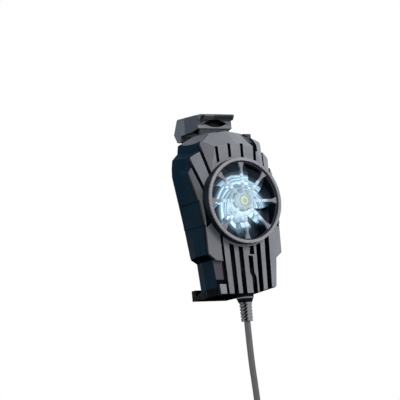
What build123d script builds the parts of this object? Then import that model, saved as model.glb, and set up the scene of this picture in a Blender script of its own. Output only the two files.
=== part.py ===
from build123d import *
import math
import os

# Clip-on phone cooler. Millimetres. The origin is the centre of the pad's face that rests on the phone,
# +Z runs up the housing and -Y out through the fan. A depth is measured from that face towards the fan.

# Housing
half_width = 22.2
top_height = 32.4
bottom_height = 40.0
front_depth = 19.0
back_depth = 3.0
plate_thickness = 1.5
plate_inset = 0.45
shell_wall = 1.5
side_lip_share = 0.4737
upper_outline_shares = [(0.0, 1.0), (0.405, 0.963), (0.72, 0.818), (0.74, 0.704), (0.923, 0.63),
                        (0.937, 0.494), (1.0, 0.41), (0.92, 0.022), (0.905, 0.018)]
lower_outline_shares = [(0.892, 0.25), (0.878, 0.254), (0.87, 0.5625), (0.734, 0.62), (0.671, 0.93)]
toe_share = 0.15
upper_back_shares = [(0.0, 1.0), (0.47, 0.963), (0.85, 0.833), (0.878, 0.722), (1.014, 0.636),
                     (1.041, 0.525), (1.05, 0.417), (0.955, 0.022), (0.941, 0.018)]
lower_back_shares = [(0.888, 0.25), (0.874, 0.254), (0.797, 0.5725), (0.662, 0.62), (0.613, 0.93)]
back_wall = 1.2
bevel_drop_share = 0.2895
bevel_low_share = -0.25
bevel_top_shares = (0.4505, 0.8025)
crown_foot_share = 0.787
crown_edge_share = 0.658
overrun = 1.0
seat_gap = 0.05

# Plates, grooves and slots on the front
groove_width = 1.2
slot_width = 2.35
narrow_slot_width = 1.3
top_slot_width = 1.45
slot_pitch_share = 0.2207
outer_slot = 2.5
slot_taper_share = 0.88
top_slot_pitch_share = 0.2973
top_slot_height_share = 0.247
outer_top_slot = 1.5
ring_web = 1.1
cheek_gap_shares = (0.028, -0.2325)
cheek_low_share = -0.625
cheek_gap_step = 2.0
cheek_groove_shares = [(0.7477, 0.8333), (0.5873, 0.157)]
brow_groove_shares = [(0.955, 0.648), (0.7333, 0.0154)]
bolt_kink = 0.9
bolt_kink_shares = (-0.765, -0.8225)
bolt_break_share = -0.5725
bolt_break = 0.6
foot_top_share = -0.8875
edge_strip = 0.6
shoulder_width_share = 0.1937
shoulder_shares = (0.7716, 0.9537)
shoulder_near_share = 0.421
wedge_top_shares = (0.2973, 0.4955)
wedge_mid_share = 0.8333
wedge_low_shares = (0.464, 0.679)

# Fan ring and guard
ring_share = 0.8333
ring_proud = 4.0
ring_wall = 1.3
ring_rim = 1.2
ring_rim_thickness = 0.8
ring_spigot_clearance = 0.1
guard_recess = 0.9
guard_thickness = 1.0
guard_rim = 0.5
guard_hub_radius = 3.4
guard_spokes = 8
spoke_width = 1.1
spoke_flare = 2.9
spoke_flare_length = 2.4

# Fan
impeller_clearance = 0.8
impeller_gap = 0.7
impeller_depth = 5.0
blade_depth = 4.2
board_gap = 0.6
hub_radius = 6.4
hub_wall = 0.8
blade_count = 9
blade_thickness = 0.7
blade_root_angle = 52.0
blade_tip_angle = 66.0
blade_sweep = 17.0
blade_foot_gap = 0.6
hub_chamfer = 0.5
magnet_thickness = 0.9
shaft_radius = 0.75
bearing_clearance = 0.03
bearing_radius = 1.5
bearing_length = 3.4
stator_poles = 6
stator_pole_width = 1.2
stator_core_radius = 3.45
stator_gap = 0.35
stator_thickness = 2.2
frame_wall = 1.2
base_thickness = 1.0
base_cup_radius = 7.2
base_struts = 4
base_strut_width = 1.6
post_wall = 0.6
light_board_thickness = 0.6
light_board_radius = 8.6
lamp_count = 6
lamp_size = 1.1
lamp_height = 0.5

# Cold side
pad_share = 1.3514
pad_thickness = 0.8
cold_share = 1.4865
cold_clearance = 0.2
rear_thickness = 1.6
rear_inset = 0.95
sink_share = 1.3964
cold_thickness = 2.0
module_share = 0.9009
module_thickness = 3.0
module_plate = 0.7
module_centre_share = -0.1125
gasket_width = 1.2
gasket_clearance = 0.15
sink_base = 1.5
sink_fin = 0.8
sink_fins = 11
sink_gap = 0.3

# Clamp
grip_rise = 0.6
jaw_rise = 3.0
jaw_share = 0.3964
jaw_reach = 12.2
grip_thickness = 0.8
cap_height = 7.6
cap_fall = 0.8
cap_lean = 1.2
cap_flare = 2.2
cap_waist = 1.3
cap_round = 1.2
skirt_rise = 0.8
skirt_wall = 0.4
hook_drop = 2.6
beak_reach = 2.0
beak_height = 2.3
beak_overhang = 0.5
beak_nose = 1.1
notch_inset = 0.6
notch_width = 1.8
scoop_half_width = 5.9
scoop_shift = 0.4
scoop_height = 3.3
scoop_rise = 1.4
scoop_depth = 2.6
arm_tuck = 1.2
arm_plate = 1.2
arm_share = 0.3423
arm_depth = 5.4
arm_thickness = 2.0
arm_low_share = 0.389
arm_bridge = 3.0
leg_width = 2.1
leg_low_share = -0.2
arm_clearance = 0.25
arm_closed = 5.0
jaw_plate = 2.0
jaw_foot_height = 8.0
jaw_foot_gap = 0.2
hook_thickness = 3.0
guide_width = 1.2
guide_low_share = -0.3
guide_top_share = 0.617

# Clamp springs
spring_radius = 1.05
spring_wire = 0.4
spring_turns = 9
post_half_width = 1.0
post_top_share = -0.515
post_height = 1.6

# Screws and board
screw_radius = 0.8
screw_head_radius = 1.5
screw_head = 0.9
screw_length = 5.0
boss_radius = 1.7
boss_reach = 1.2
boss_top_shares = (0.82, 0.3086)
screw_clearance = 0.05
boss_low_share = -0.85
board_thickness = 1.0
board_share = 0.7658
board_height = 8.0
board_height_share = -0.7875
board_depth_share = 0.5526
board_post_radius = 1.0
board_post_share = 0.2928
chip_size = 4.0
chip_height = 1.0

# Cable exit
cord_diameter = 2.8
collar_spigot_radius = 1.7
collar_radius = 3.8
collar_neck_radius = 2.9
collar_length = 3.2
collar_lip = 1.0
boot_radius = 2.75
boot_tip_radius = 2.55
boot_length = 8.0
boot_ribs = 5
boot_groove = 0.9
boot_groove_height = 0.55

# Cord, put-away coil and plug
cord_lead_x = 1.4
cord_route = [(0.0, 0.0, -66.0), (0.9, 0.3, -80.0), (1.4, 0.0, -92.0), (9.5, 0.0, -103.5),
              (20.5, 0.0, -113.0)]
coil_centre_z = -132.0
coil_inner_radius = 8.4
coil_pitch = 3.75
coil_turns_in = 4
coil_turns_out = 4.5
climb_share = 1.5
bend_share = 0.45
lead_straight = 9.0
tie_width = 6.0
tie_thickness = 0.9
tie_clearance = 0.3
tail_length = 36.0
tail_lean = 0.3
plug_shift = 2.0
grip_width = 14.0
grip_height = 8.0
grip_length = 22.0
grip_round = 1.6
grip_neck_radius = 2.3
grip_neck_length = 5.0
plug_width = 12.0
plug_height = 4.5
plug_length = 14.0
plug_wall = 0.4
tongue_thickness = 1.8
tongue_gap = 0.3

# Places that follow from the driving values
ring_radius = ring_share * half_width
ring_front_depth = front_depth + ring_proud
side_lip_depth = side_lip_share * front_depth
crown_edge_depth = crown_edge_share * front_depth
crown_foot_z = crown_foot_share * top_height
slot_pitch = slot_pitch_share * half_width
top_slot_pitch = top_slot_pitch_share * half_width
top_slot_height = top_slot_height_share * top_height
foot_top_z = foot_top_share * bottom_height
cheek_gap_top_z = cheek_gap_shares[0] * top_height
cheek_gap_low_z = cheek_gap_shares[1] * bottom_height
cheek_low_z = cheek_low_share * bottom_height
pad_side = pad_share * half_width
cold_side = cold_share * half_width
sink_side = sink_share * half_width
module_side = module_share * half_width
module_centre_z = module_centre_share * bottom_height
upper_grip_z = top_height + grip_rise
jaw_top_z = jaw_rise - bottom_height
jaw_half_width = jaw_share * half_width
arm_half_width = arm_share * half_width
arm_low_z = arm_low_share * top_height
leg_inner = module_side / 2 + gasket_clearance + gasket_width + arm_clearance
leg_outer = leg_inner + leg_width
leg_low_z = leg_low_share * bottom_height
spring_x = leg_inner + leg_width / 2
post_top_z = post_top_share * bottom_height
board_width = board_share * half_width
board_z = board_height_share * bottom_height
board_depth = board_depth_share * front_depth
exit_depth = front_depth - collar_radius


def slab(profile, near, far):
    """A flat profile in X and Z, made solid from one depth to a greater one."""
    return extrude(Plane.XZ.offset(near) * profile, amount=far - near, dir=(0, -1, 0))


def block(x_low, x_high, depth_low, depth_high, z_low, z_high):
    """A box between two places along X, two depths and two heights."""
    profile = Pos((x_low + x_high) / 2, (z_low + z_high) / 2) * Rectangle(x_high - x_low, z_high - z_low)
    return slab(profile, depth_low, depth_high)


def disc(radius, near, far, x=0, z=0):
    return slab(Pos(x, z) * Circle(radius), near, far)


def bar(start, end, width):
    """A flat straight strip from one point to another in X and Z."""
    length = math.dist(start, end)
    angle = math.degrees(math.atan2(end[1] - start[1], end[0] - start[0]))
    middle = Pos((start[0] + end[0]) / 2, (start[1] + end[1]) / 2)
    return middle * Rot(0, 0, angle) * Rectangle(length, width)


def save(name, shape):
    solids = shape.solids()
    export_step(solids[0] if len(solids) == 1 else Compound(children=list(solids)), f"parts/{name}.step")


# Housing envelope: its outline, and the planes that bevel its front

def placed(shares):
    """Places given as shares of the half width and of the height above or below the origin."""
    return [(x * half_width, z * (top_height if z > 0 else bottom_height)) for x, z in shares]


def housing_corners(upper_shares, lower_shares):
    right = placed(upper_shares + [(x, -z) for x, z in lower_shares])
    left = [(-x, z) for x, z in right[:0:-1]]
    toe_x = lower_shares[-1][0] * half_width
    bottom = [(toe_share * half_width, -bottom_height), (-toe_x, -bottom_height)]
    return list(reversed(right + bottom + left[1:]))


def inset(corners, distance):
    """A closed run of corners with every side moved inwards by a distance."""
    moved = []
    following = corners[1:] + corners[:1]
    for previous, corner, following_corner in zip(corners[-1:] + corners, corners, following):
        before, here, after = Vector(*previous), Vector(*corner), Vector(*following_corner)
        first = (here - before).normalized().rotate(Axis.Z, 90)
        second = (after - here).normalized().rotate(Axis.Z, 90)
        place = here + (first + second) * (distance / (1 + first.dot(second)))
        moved.append((place.X, place.Y))
    return moved


def flat(corners, distance=0):
    return Polygon(*inset(corners, distance), align=None)


def bevel_planes():
    """Outward planes: one sloping back at each upper side, and two that form the crown."""
    low_x, bevel_low_z = lower_outline_shares[0][0] * half_width, bevel_low_share * bottom_height
    bevel_top_x, bevel_top_z = placed([bevel_top_shares])[0]
    lean = (low_x - bevel_top_x) / (bevel_top_z - bevel_low_z)
    wide_z = upper_outline_shares[6][1] * top_height
    ridge_x = low_x - lean * (wide_z - bevel_low_z)
    slope = bevel_drop_share * front_depth / (half_width - ridge_x)
    planes = []
    for side in (-1, 1):
        origin = (side * low_x, -front_depth, bevel_low_z)
        planes.append(Plane(origin, z_dir=(side * slope, -1, slope * lean)))
        foot = Vector(0, -front_depth, crown_foot_z)
        peak = Vector(0, -crown_edge_depth, top_height)
        corner_x, corner_z = upper_outline_shares[1]
        corner = Vector(side * corner_x * half_width, -crown_edge_depth, corner_z * top_height)
        normal = (peak - foot).cross(corner - foot)
        planes.append(Plane(foot, z_dir=normal if normal.Y < 0 else -normal))
    return planes


def envelope(profile, back, sunk):
    """The housing's outer form from the depth back, with its front face sunk by a distance."""
    body = slab(profile, back, front_depth - sunk)
    for plane in bevel_planes():
        moved = Plane(plane.origin + Vector(0, sunk, 0), z_dir=plane.z_dir)
        body = split(body, bisect_by=moved, keep=Keep.BOTTOM)
    return body


corners = housing_corners(upper_outline_shares, lower_outline_shares)
plain_corners = housing_corners(upper_outline_shares[:-1], lower_outline_shares[1:])
plain_back_corners = housing_corners(upper_back_shares[:-1], lower_back_shares[1:])
outline = flat(corners)
back_outline = flat(housing_corners(upper_back_shares, lower_back_shares))
inner_outline = flat(plain_corners, shell_wall)
inner_back = flat(plain_back_corners, back_wall)
plate_outline = flat(corners, plate_inset)


# Shell and plates

def back_stretch(profile, back_profile):
    """The rearmost stretch of the side walls, which flares at the top and draws in towards the foot."""
    front, back = Plane.XZ.offset(side_lip_depth) * profile, Plane.XZ.offset(back_depth) * back_profile
    return loft([front, back], ruled=True)


def arm_slot(half_width_here, far, z_low):
    """Room for the arm and its cap where they pass through the top."""
    return block(-half_width_here - arm_clearance, half_width_here + arm_clearance, 0, far + arm_clearance,
                 z_low, top_height + overrun)


def slot_x(index, foot):
    """The place of a lower slot, counted from the middle in pitches, at its head or its foot."""
    return index * slot_pitch * (slot_taper_share if foot else 1.0)


def vent_windows():
    """The openings in the shell's front wall behind the slots."""
    web = Circle(ring_radius + ring_web)
    low = flat([(-slot_x(outer_slot, True) - narrow_slot_width / 2, foot_top_z),
                (slot_x(outer_slot, True) + slot_width / 2, foot_top_z),
                (slot_x(outer_slot, False) + slot_width / 2, 0),
                (-slot_x(outer_slot, False) - narrow_slot_width / 2, 0)])
    top_half = outer_top_slot * top_slot_pitch + top_slot_width
    top = Pos(0, crown_foot_z - top_slot_height / 2) * Rectangle(2 * top_half, top_slot_height)
    return [low - web, top - web]


def boss_places():
    low_x = lower_back_shares[-1][0] * half_width - back_wall - boss_reach
    right = placed([boss_top_shares]) + [(low_x, boss_low_share * bottom_height)]
    return right + mirrored(right)


def make_shell():
    wall_depth = front_depth - plate_thickness - shell_wall
    outer = envelope(outline, side_lip_depth, plate_thickness) + back_stretch(outline, back_outline)
    inner = envelope(inner_outline, side_lip_depth, plate_thickness + shell_wall)
    inner += back_stretch(inner_outline, inner_back)
    shell = outer - inner
    for x, z in boss_places():
        boss = disc(boss_radius, back_depth, front_depth, x, z) & outer
        shell += boss
    shoulder_x = upper_outline_shares[1][0] * half_width
    shoulder_near = shoulder_near_share * front_depth
    shoulder_far_x = shoulder_x + shoulder_width_share * half_width
    shoulder = block(shoulder_x, shoulder_far_x, shoulder_near, crown_edge_depth,
                     shoulder_shares[0] * top_height, shoulder_shares[1] * top_height)
    shell += shoulder - inner - slab(outline, shoulder_near, front_depth)
    for x, z in boss_places():
        shell -= disc(screw_radius + screw_clearance, 0, back_depth + screw_length, x, z)
    shell -= disc(ring_radius - ring_wall, 0, ring_front_depth)
    for window in vent_windows():
        shell -= slab(window, wall_depth - overrun, front_depth)
    shell -= arm_slot(jaw_half_width, cap_front_depth, top_height - 4 * shell_wall)
    exit_hole = Cylinder(collar_spigot_radius + seat_gap, 4 * shell_wall)
    return shell - Pos(0, -exit_depth, -bottom_height) * exit_hole


def mirrored(points):
    return [(-x, z) for x, z in points]


def plate_grooves():
    """The dark lines and gaps between the front plates, as flat profiles."""
    cheek, brow = placed(cheek_groove_shares), placed(brow_groove_shares)
    strip_x = lower_outline_shares[0][0] * half_width - plate_inset - edge_strip
    gap = [(0, cheek_gap_top_z), (strip_x, cheek_gap_top_z), (strip_x, cheek_gap_low_z - cheek_gap_step),
           (ring_radius - cheek_gap_step, cheek_gap_low_z), (0, cheek_gap_low_z)]
    profiles = []
    for line in (cheek, mirrored(cheek), brow, mirrored(brow)):
        profiles.append(bar(*line, groove_width))
    profiles += [Polygon(*reversed(gap), align=None), Polygon(*mirrored(gap), align=None)]
    recess_x = slot_x(outer_slot, True)
    recess = [(-half_width, cheek_low_z + shell_wall / 2), (-half_width, foot_top_z),
              (-recess_x, foot_top_z), (-recess_x, cheek_low_z - shell_wall / 2)]
    profiles.append(Polygon(*recess, align=None))
    inner_x, outer_x = [share * half_width for share in wedge_top_shares]
    low_x, low_z = placed([wedge_low_shares])[0]
    middle_z = wedge_mid_share * top_height
    wedge = [(inner_x, top_height), (inner_x + groove_width, middle_z), (low_x, low_z),
             (low_x + groove_width, low_z), (outer_x + groove_width, middle_z), (outer_x, top_height)]
    profiles.append(Polygon(*wedge, align=None))
    return profiles


def plate_slots():
    """The vents: four short ones above the ring and six that run out at the lower edge."""
    profiles = []
    web = Circle(ring_radius + ring_web)
    for index in (-1.5, -0.5, 0.5, 1.5):
        drop = abs(index) - 0.5
        top = (index * top_slot_pitch, crown_foot_z - drop * top_slot_width)
        foot = (index * top_slot_pitch * slot_taper_share, 0)
        profiles.append(bar(top, foot, top_slot_width) - web)
    for index in (-2.5, -1.5, -0.5, 1.5, 2.5):
        width = narrow_slot_width if index == -2.5 else slot_width
        head = (slot_x(index, False), 0)
        foot = (slot_x(index, True), -bottom_height - overrun)
        cut = bar(head, foot, width)
        profiles.append(cut if abs(index) > 2 else cut - web)
    near_x = slot_x(0.5, False)
    far_x = near_x + bolt_kink
    half = slot_width / 2
    high, low = [share * bottom_height for share in bolt_kink_shares]
    break_z = bolt_break_share * bottom_height
    upper = bar((far_x, 0), (far_x, break_z), slot_width)
    lower = bar((near_x, break_z - bolt_break), (near_x, high), slot_width)
    kink = flat([(near_x - half, high), (far_x - half, low), (far_x + half, low), (near_x + half, high)])
    tail = bar((far_x, low), (far_x, -bottom_height - overrun), slot_width)
    profiles += [upper - web, lower, kink, tail]
    return profiles


def make_plates():
    """Every front plate: the skin between the envelope and the shell, cut along the grooves and slots."""
    skin = envelope(plate_outline, side_lip_depth, 0) - envelope(outline, 0, plate_thickness)
    skin -= disc(ring_radius + ring_spigot_clearance, 0, ring_front_depth)
    for profile in plate_grooves() + plate_slots():
        skin -= slab(profile, 0, front_depth + overrun)
    return skin.solids().sort_by(SortBy.VOLUME)


def sort_plates(solids):
    """The plates by where they lie: crown, lower grille, and those down each side."""
    groups = {}
    for solid in solids:
        middle = solid.center()
        side = "left" if middle.X < 0 else "right"
        if abs(middle.X) < hub_radius:
            name = "crown_plate" if middle.Z > 0 else "lower_grille"
        elif middle.Z < foot_top_z:
            name = side + "_foot_plate"
        elif solid.bounding_box().min.Z < cheek_gap_low_z:
            name = side + "_side_plate"
        else:
            name = side + "_brow_plate"
        groups.setdefault(name, []).append(solid)
    return groups


# Fan ring, guard and frame

guard_far = ring_front_depth - guard_recess
guard_near = guard_far - guard_thickness
impeller_far = guard_near - impeller_gap
impeller_near = impeller_far - impeller_depth
impeller_radius = ring_radius - ring_wall - impeller_clearance
frame_far = impeller_near - board_gap - lamp_height - light_board_thickness
frame_near = frame_far - base_thickness


def make_ring():
    tube = disc(ring_radius, 0, ring_front_depth - ring_rim_thickness)
    tube -= disc(ring_radius - ring_wall, 0, ring_front_depth)
    return tube - envelope(outline, 0, plate_thickness)


def make_trim():
    near = ring_front_depth - ring_rim_thickness
    return disc(ring_radius, near, ring_front_depth) - disc(ring_radius - ring_rim, near, ring_front_depth)


def make_guard():
    outer = ring_radius - ring_wall - seat_gap
    profile = Circle(outer) - Circle(outer - guard_rim) + Circle(guard_hub_radius)
    for index in range(guard_spokes):
        root, tip = outer - guard_rim - spoke_flare_length, outer - guard_rim / 2
        flare = flat([(0, -spoke_width / 2), (root, -spoke_width / 2), (tip, -spoke_flare / 2),
                      (tip, spoke_flare / 2), (root, spoke_width / 2), (0, spoke_width / 2)])
        profile += Rot(0, 0, index * 360 / guard_spokes) * flare
    return slab(profile, guard_near, guard_far)


def make_frame():
    """The fan's own frame: a tube against the shell's front wall, struts and the bearing post."""
    inner_radius = ring_radius - ring_wall
    tube = disc(inner_radius + frame_wall, frame_near, front_depth) - disc(inner_radius, 0, front_depth)
    tube = tube & envelope(outline, 0, plate_thickness + shell_wall)
    spider = Circle(base_cup_radius)
    for index in range(base_struts):
        strut = Pos(inner_radius / 2, 0) * Rectangle(inner_radius + frame_wall, base_strut_width)
        spider += Rot(0, 0, (index + 0.5) * 360 / base_struts) * strut
    base = slab(spider, frame_near, frame_far)
    post = disc(bearing_radius + post_wall, frame_near, frame_far + bearing_length)
    return tube + base + post - disc(bearing_radius, frame_far, ring_front_depth)


def make_bearing():
    tube = disc(bearing_radius, frame_far, frame_far + bearing_length)
    return tube - disc(shaft_radius + bearing_clearance, 0, ring_front_depth)


def make_stator():
    near = frame_far + bearing_length - stator_thickness
    inner = bearing_radius + post_wall
    tip = hub_radius - hub_wall - magnet_thickness - stator_gap
    profile = Circle(stator_core_radius) - Circle(inner)
    for index in range(stator_poles):
        pole = Pos(tip / 2, 0) * Rectangle(tip, stator_pole_width)
        shoe = Pos(tip - stator_pole_width / 2, 0) * Rectangle(stator_pole_width / 2, 2 * stator_pole_width)
        profile += Rot(0, 0, index * 360 / stator_poles) * (pole + shoe)
    profile = (profile & Circle(tip)) - Circle(inner)
    return slab(profile, near, near + stator_thickness)


def make_light_board():
    ring = disc(light_board_radius, frame_far, frame_far + light_board_thickness)
    return ring - disc(bearing_radius + post_wall + seat_gap, 0, ring_front_depth)


def make_lamps():
    near = frame_far + light_board_thickness
    place = light_board_radius - lamp_size
    lamps = []
    for index in range(lamp_count):
        lamp = Rot(0, 0, index * 360 / lamp_count) * Pos(place, 0) * Rectangle(lamp_size, lamp_size)
        lamps.append(slab(lamp, near, near + lamp_height).solid())
    return Compound(children=lamps)


# Rotor

def blade_section(radius):
    """A blade's flat section at a radius: its pitch and sweep grow from root to tip."""
    share = (radius - hub_radius) / (impeller_radius - hub_radius)
    pitch = blade_root_angle + share * (blade_tip_angle - blade_root_angle)
    sweep = math.radians(blade_sweep * share * share)
    out = Vector(math.cos(sweep), 0, math.sin(sweep))
    middle = out * radius + Vector(0, -(impeller_near + impeller_far - blade_foot_gap) / 2, 0)
    chord = blade_depth / math.cos(math.radians(pitch))
    return Plane(middle, x_dir=(0, -1, 0), z_dir=out) * Rot(0, 0, pitch) * Rectangle(chord, blade_thickness)


def make_impeller():
    skirt = disc(hub_radius, impeller_near, impeller_far)
    skirt = chamfer(skirt.faces().sort_by(Axis.Y)[0].edges(), hub_chamfer)
    hub = skirt - disc(hub_radius - hub_wall, 0, impeller_far - hub_wall)
    boss_far = impeller_far - hub_wall
    hub += disc(bearing_radius, boss_far - hub_wall, boss_far) + Part()
    hub -= disc(shaft_radius, 0, boss_far)
    steps = 4
    radii = [hub_radius - hub_wall / 2 + index * (impeller_radius + overrun - hub_radius) / (steps - 1)
             for index in range(steps)]
    blade = loft([blade_section(radius) for radius in radii])
    blade = blade & disc(impeller_radius, impeller_near - overrun, impeller_far + overrun)
    blade -= disc(hub_radius - hub_wall / 2, 0, ring_front_depth)
    for index in range(blade_count):
        hub += Rot(0, index * 360 / blade_count, 0) * blade
    return hub


def make_magnet():
    outer = hub_radius - hub_wall
    near = impeller_near + seat_gap
    tube = disc(outer, near, impeller_far - 2 * hub_wall)
    return tube - disc(outer - magnet_thickness, 0, ring_front_depth)


def make_shaft():
    return disc(shaft_radius, frame_far + seat_gap, impeller_far - hub_wall)


# Cold side, from the phone outwards

cold_near = pad_thickness
module_near = cold_near + cold_thickness
sink_near = module_near + module_thickness
sink_far = frame_near - sink_gap


def square(side, z=0):
    return Pos(0, z) * Rectangle(side, side)


def make_module():
    ends = slab(square(module_side, module_centre_z), module_near, sink_near)
    core_side = module_side - 2 * module_plate
    waist = slab(square(module_side, module_centre_z) - square(core_side, module_centre_z),
                 module_near + module_plate, sink_near - module_plate)
    return ends - waist


def make_gasket():
    inner = module_side + 2 * gasket_clearance
    ring = square(inner + 2 * gasket_width, module_centre_z) - square(inner, module_centre_z)
    return slab(ring, module_near, sink_near)


def make_sink():
    sink = slab(square(sink_side), sink_near, sink_near + sink_base)
    step = (sink_side - sink_fin) / (sink_fins - 1)
    for index in range(sink_fins):
        x = -sink_side / 2 + sink_fin / 2 + index * step
        sink += slab(Pos(x, 0) * Rectangle(sink_fin, sink_side), sink_near + sink_base, sink_far)
    return sink


rear_outline = flat(plain_back_corners, rear_inset)
rear_near = back_depth - rear_thickness


def make_rear_cover():
    plate = slab(rear_outline - square(cold_side + 2 * cold_clearance), rear_near, back_depth)
    for x, z in boss_places():
        plate -= disc(screw_radius + screw_clearance, 0, back_depth, x, z)
        plate -= disc(screw_head_radius + screw_clearance, 0, rear_near + screw_head, x, z)
    for side in (-1, 1):
        post_x = side * board_post_share * half_width
        plate += disc(board_post_radius, back_depth, board_depth, post_x, board_z)
    return plate - arm_slot(jaw_half_width, back_depth, cap_low_z - arm_closed - arm_clearance)


def make_screws():
    screws = []
    for x, z in boss_places():
        screw = disc(screw_head_radius, rear_near, rear_near + screw_head, x, z)
        screw += disc(screw_radius, rear_near, back_depth + screw_length, x, z)
        screws.append(screw.solid())
    return Compound(children=screws)


def make_board():
    board = block(-board_width / 2, board_width / 2, board_depth, board_depth + board_thickness,
                  board_z - board_height / 2, board_z + board_height / 2)
    far = board_depth + board_thickness
    for side in (-1, 1):
        x = side * chip_size
        board += block(x - chip_size / 2, x + chip_size / 2, far, far + chip_height,
                       board_z - chip_size / 2, board_z + chip_size / 2)
    return board


# Clamp: the sliding arm, its cap, the fixed jaw, grips and springs

arm_near = arm_depth - arm_thickness
arm_plate_far = arm_near + arm_plate
cap_front_depth = arm_plate_far + seat_gap + skirt_wall
cap_low_z = upper_grip_z + grip_thickness
cap_top_z = cap_low_z + cap_height
hook_near = jaw_reach - hook_thickness


def make_arm():
    legs = Pos(0, arm_low_z + arm_bridge / 2) * Rectangle(2 * leg_outer, arm_bridge)
    for side in (-1, 1):
        leg_x = side * (leg_inner + leg_width / 2)
        legs += Pos(leg_x, (leg_low_z + arm_low_z) / 2) * Rectangle(leg_width, arm_low_z - leg_low_z)
    plate = block(-arm_half_width, arm_half_width, arm_near, arm_plate_far, arm_low_z, cap_low_z + arm_tuck)
    return slab(legs, arm_near, arm_depth) + plate


def make_guides():
    guides = []
    for side in (-1, 1):
        inner = leg_outer + arm_clearance
        low, high = sorted((side * inner, side * (inner + guide_width)))
        guides.append(block(low, high, back_depth, arm_depth, guide_low_share * bottom_height,
                            guide_top_share * top_height).solid())
    return Compound(children=guides)


def make_cap():
    """The cap: a faceted side profile with the hook behind, less the arm's slot and the finger scoop."""
    front_top = cap_top_z - cap_fall
    corners_here = [(cap_lean - jaw_reach, cap_top_z), (-jaw_reach - cap_flare, cap_low_z + cap_waist),
                    (-jaw_reach, cap_low_z - hook_drop), (-hook_near, cap_low_z - hook_drop),
                    (-hook_near, cap_low_z), (0, cap_low_z), (cap_front_depth, cap_low_z + skirt_rise),
                    (cap_front_depth, front_top)]
    side = Polygon(*[(-depth, z) for depth, z in corners_here], align=None)
    body = extrude(Plane.YZ.offset(-jaw_half_width) * side, amount=2 * jaw_half_width, dir=(1, 0, 0))
    back_edge = body.edges().filter_by(Axis.X).group_by(Axis.Z)[-1][0]
    body = fillet(back_edge, cap_round)
    beak_near = cap_front_depth - beak_nose
    beak_far = cap_front_depth + beak_reach
    beak = block(-jaw_half_width + beak_overhang, jaw_half_width + beak_overhang, beak_near, beak_far,
                 front_top - beak_height, front_top)
    under = beak.edges().filter_by(Axis.X).group_by(Axis.Y)[0].sort_by(Axis.Z)[0]
    body += chamfer(under, beak_nose, beak_reach - beak_overhang)
    low = cap_low_z + scoop_rise
    middle = low + scoop_height / 2
    left, right = (scoop_shift - scoop_half_width, middle), (scoop_shift + scoop_half_width, middle)
    lens = make_face([ThreePointArc(left, (scoop_shift, low), right),
                      ThreePointArc(right, (scoop_shift, low + scoop_height), left)])
    body -= slab(lens, cap_front_depth - scoop_depth, cap_front_depth + beak_reach / 2)
    notch_x = -jaw_half_width + beak_overhang + notch_inset
    body -= block(notch_x, notch_x + notch_width, cap_front_depth - beak_nose, beak_far + overrun,
                  front_top - beak_height - overrun, front_top - beak_overhang)
    room = arm_half_width + seat_gap
    return body - block(-room, room, arm_near - seat_gap, arm_plate_far + seat_gap, 0, cap_low_z + arm_tuck)


def make_grip(z_low):
    return block(-arm_half_width, arm_half_width, -hook_near, 0, z_low, z_low + grip_thickness)


def make_lower_jaw():
    plate = block(-jaw_half_width, jaw_half_width, -jaw_reach, rear_near, jaw_top_z - jaw_plate, jaw_top_z)
    foot_top = jaw_top_z + jaw_foot_height
    foot = block(-arm_half_width, arm_half_width, jaw_foot_gap, rear_near, jaw_top_z, foot_top)
    hook = block(-jaw_half_width, jaw_half_width, -jaw_reach, -hook_near, jaw_top_z, jaw_top_z + hook_drop)
    return plate + foot + hook


# Bent wires and cords

def biarc(start, start_way, end, end_way):
    """Two arcs that leave one point and reach another along given unit directions."""
    start, end, start_way, end_way = Vector(start), Vector(end), Vector(start_way), Vector(end_way)
    span = end - start
    a = 2 * (start_way.dot(end_way) - 1)
    b = -2 * span.dot(start_way + end_way)
    c = span.dot(span)
    reach = (-b - math.sqrt(b * b - 4 * a * c)) / (2 * a)
    first, second = start + start_way * reach, end - end_way * reach
    joint = (first + second) / 2
    return [TangentArc(start, joint, tangent=start_way),
            TangentArc(joint, end, tangent=(second - first).normalized())]


def joined(nodes):
    """One wire through places with their directions, in pairs of arcs."""
    edges = []
    for (start, start_way), (end, end_way) in zip(nodes, nodes[1:]):
        edges += biarc(start, start_way, end, end_way)
    return Wire(edges)


def tube(path, radius, start, way):
    return sweep(Plane(start, z_dir=way) * Circle(radius), path=path)


def least_gap(path, diameter):
    """The least gap between a tube and itself, from points half a diameter apart."""
    count = int(path.length / diameter * 2)
    places = [path.position_at(index / count) for index in range(count + 1)]
    apart = int(math.pi * 2)
    least = path.length
    for first in range(len(places)):
        for second in range(first + apart, len(places)):
            least = min(least, (places[first] - places[second]).length)
    return least - diameter


def make_spring(side):
    low = post_top_z + spring_wire / 2
    high = leg_low_z - spring_wire / 2
    centre = Vector(side * spring_x, -(arm_near + arm_depth) / 2, 0)
    steps = 4 * spring_turns
    rise = (high - low) / steps
    slope = math.atan2(rise, spring_radius * math.pi / 2)
    nodes = []
    for index in range(steps + 1):
        angle = index * math.pi / 2
        across, out = spring_radius * math.cos(angle), spring_radius * math.sin(angle)
        place = centre + Vector(across, out, low + index * rise)
        way = Vector(-math.sin(angle) * math.cos(slope), math.cos(angle) * math.cos(slope), math.sin(slope))
        nodes.append((place, way))
    return tube(joined(nodes), spring_wire / 2, *nodes[0])


def make_posts():
    posts = []
    for side in (-1, 1):
        x = side * spring_x
        posts.append(block(x - post_half_width, x + post_half_width, back_depth, arm_depth,
                           post_top_z - post_height, post_top_z).solid())
    return Compound(children=posts)


# Cable exit

def make_collar():
    top = -bottom_height
    foot, spigot_top = top - collar_length, top + 2 * shell_wall
    profile = flat([(0, spigot_top), (0, foot), (collar_neck_radius, foot), (collar_radius, top - collar_lip),
                    (collar_radius, top), (collar_spigot_radius, top), (collar_spigot_radius, spigot_top)])
    return Pos(0, -exit_depth, 0) * revolve(Plane.XZ * profile, axis=Axis.Z)


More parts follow.
